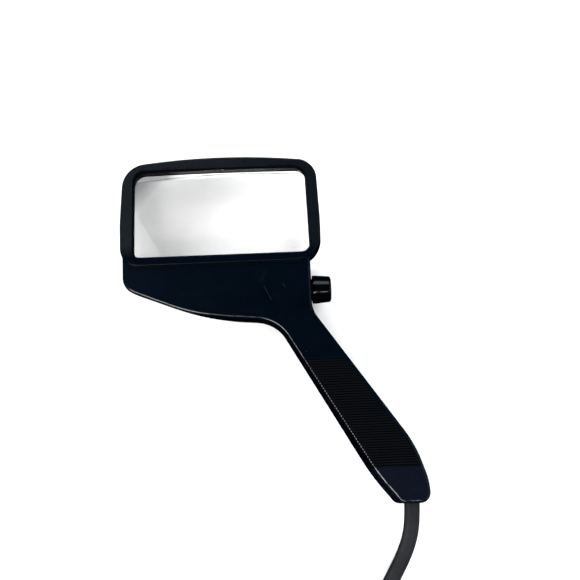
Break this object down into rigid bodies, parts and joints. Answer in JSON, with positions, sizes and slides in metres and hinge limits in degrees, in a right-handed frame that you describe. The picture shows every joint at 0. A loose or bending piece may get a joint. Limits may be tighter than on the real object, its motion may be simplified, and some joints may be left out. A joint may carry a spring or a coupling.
{
  "type": "low vision magnifier",
  "caption": "Mains-lit hand magnifier: rectangular lens in a raised bezel, lamp housing below it, angled ribbed handle, rotary switch knob and flat cord.",
  "frame": {"origin": "bottom centre of the magnifier's box, without its cord, on the flat back that it lies on", "axes": "+Z out of the lens towards the reader, +X along the lens's long side towards the knob, +Y from the handle towards the lens"},
  "size_m": [0.1745, 0.3904, 0.0292],
  "materials": {
    "housing": "moulded semi-gloss black with light scratches",
    "bezel": "moulded semi-gloss black",
    "knob_plastic": "glossy black",
    "lens_glass": "polished, clear",
    "lamp_glass": "clear lamp glass",
    "window_plastic": "frosted translucent",
    "gasket_rubber": "matt",
    "steel": "zinc plated",
    "bright_metal": "polished reflector sheet",
    "brass": "bright",
    "insulator": "brown phenolic",
    "porcelain": "white glaze",
    "cord_rubber": "dark grey jacket",
    "wire_white": "white insulation",
    "wire_black": "black insulation",
    "tie_plastic": "black",
    "plug_plastic": "moulded black",
    "blade_metal": "nickel-washed brass"
  },
  "bodies": {
    "housing": {"bezel_screws": "steel", "clamp_screw": "steel", "cord_clamp": "steel", "cord_inner_end": "cord_rubber", "cord_tie": "tie_plastic", "front_shell": "housing", "housing_screws": "steel", "lamp_cap": "brass", "lamp_contact": "brass", "lamp_globe": "lamp_glass", "lamp_insulator": "insulator", "lamp_socket": "porcelain", "lamp_stem": "lamp_glass", "lead_live": "wire_black", "lead_neutral": "wire_white", "lead_switched": "wire_black", "lens": "lens_glass", "lens_bezel": "bezel", "lens_gasket": "gasket_rubber", "light_window": "window_plastic", "plug_blades": "blade_metal", "plug_body": "plug_plastic", "power_cord": "cord_rubber", "power_cord_coil": "cord_rubber", "power_cord_tail": "cord_rubber", "rear_shell": "housing", "reflector": "bright_metal", "socket_bracket": "steel", "socket_centre_contact": "brass", "socket_thread_shell": "brass", "switch_body": "insulator", "switch_bushing": "steel", "switch_contacts": "brass", "switch_cover": "insulator", "switch_nut": "steel", "switch_washer": "steel"},
    "switch_knob": {"control_knob": "knob_plastic", "knob_set_screw": "steel", "switch_shaft": "brass", "switch_rotor": "insulator"}
  },
  "joints": [
    {"name": "switch_turn", "type": "hinge", "parent": "housing", "child": "switch_knob", "pos_m": [0.02907, 0.02177, 0.013], "axis": [1, 0, 0], "continuous": true}
  ]
}
